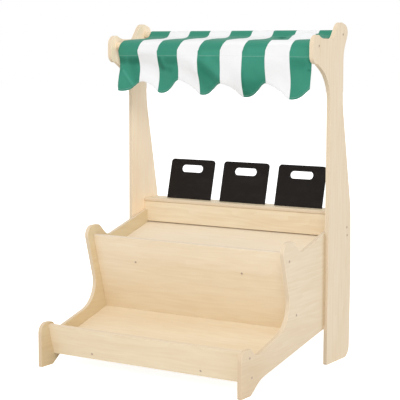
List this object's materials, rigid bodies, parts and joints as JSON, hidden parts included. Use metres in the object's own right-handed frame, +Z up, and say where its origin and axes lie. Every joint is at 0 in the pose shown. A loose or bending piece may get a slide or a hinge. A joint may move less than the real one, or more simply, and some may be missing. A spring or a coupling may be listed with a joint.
{
  "type": "child's play market stall",
  "caption": "Plywood play shop with sloping goods bins, a narrow counter holding small blackboards, and a striped cloth canopy on rods between shaped posts.",
  "frame": {"origin": "middle of the footprint, on the floor", "axes": "+X across the stall to the customer's right, +Y from the customer's side to the back, +Z up"},
  "size_m": [0.9, 0.7959, 1.2705],
  "materials": {
    "plywood": "clear satin lacquer",
    "rod_wood": "bare turned wood",
    "blackboard": "matt blackboard paint",
    "cloth": "woven canvas in two colours"
  },
  "bodies": {
    "root": {"left_post": "plywood", "right_post": "plywood", "left_side_panel": "plywood", "right_side_panel": "plywood", "lower_bin_floor": "plywood", "front_lip": "plywood", "riser": "plywood", "upper_bin_floor": "plywood", "front_rail": "plywood", "rear_rail": "plywood", "counter_top": "plywood", "left_blackboard": "blackboard", "middle_blackboard": "blackboard", "right_blackboard": "blackboard", "front_rod": "rod_wood", "rear_rod": "rod_wood", "canopy": "cloth"}
  },
  "joints": []
}
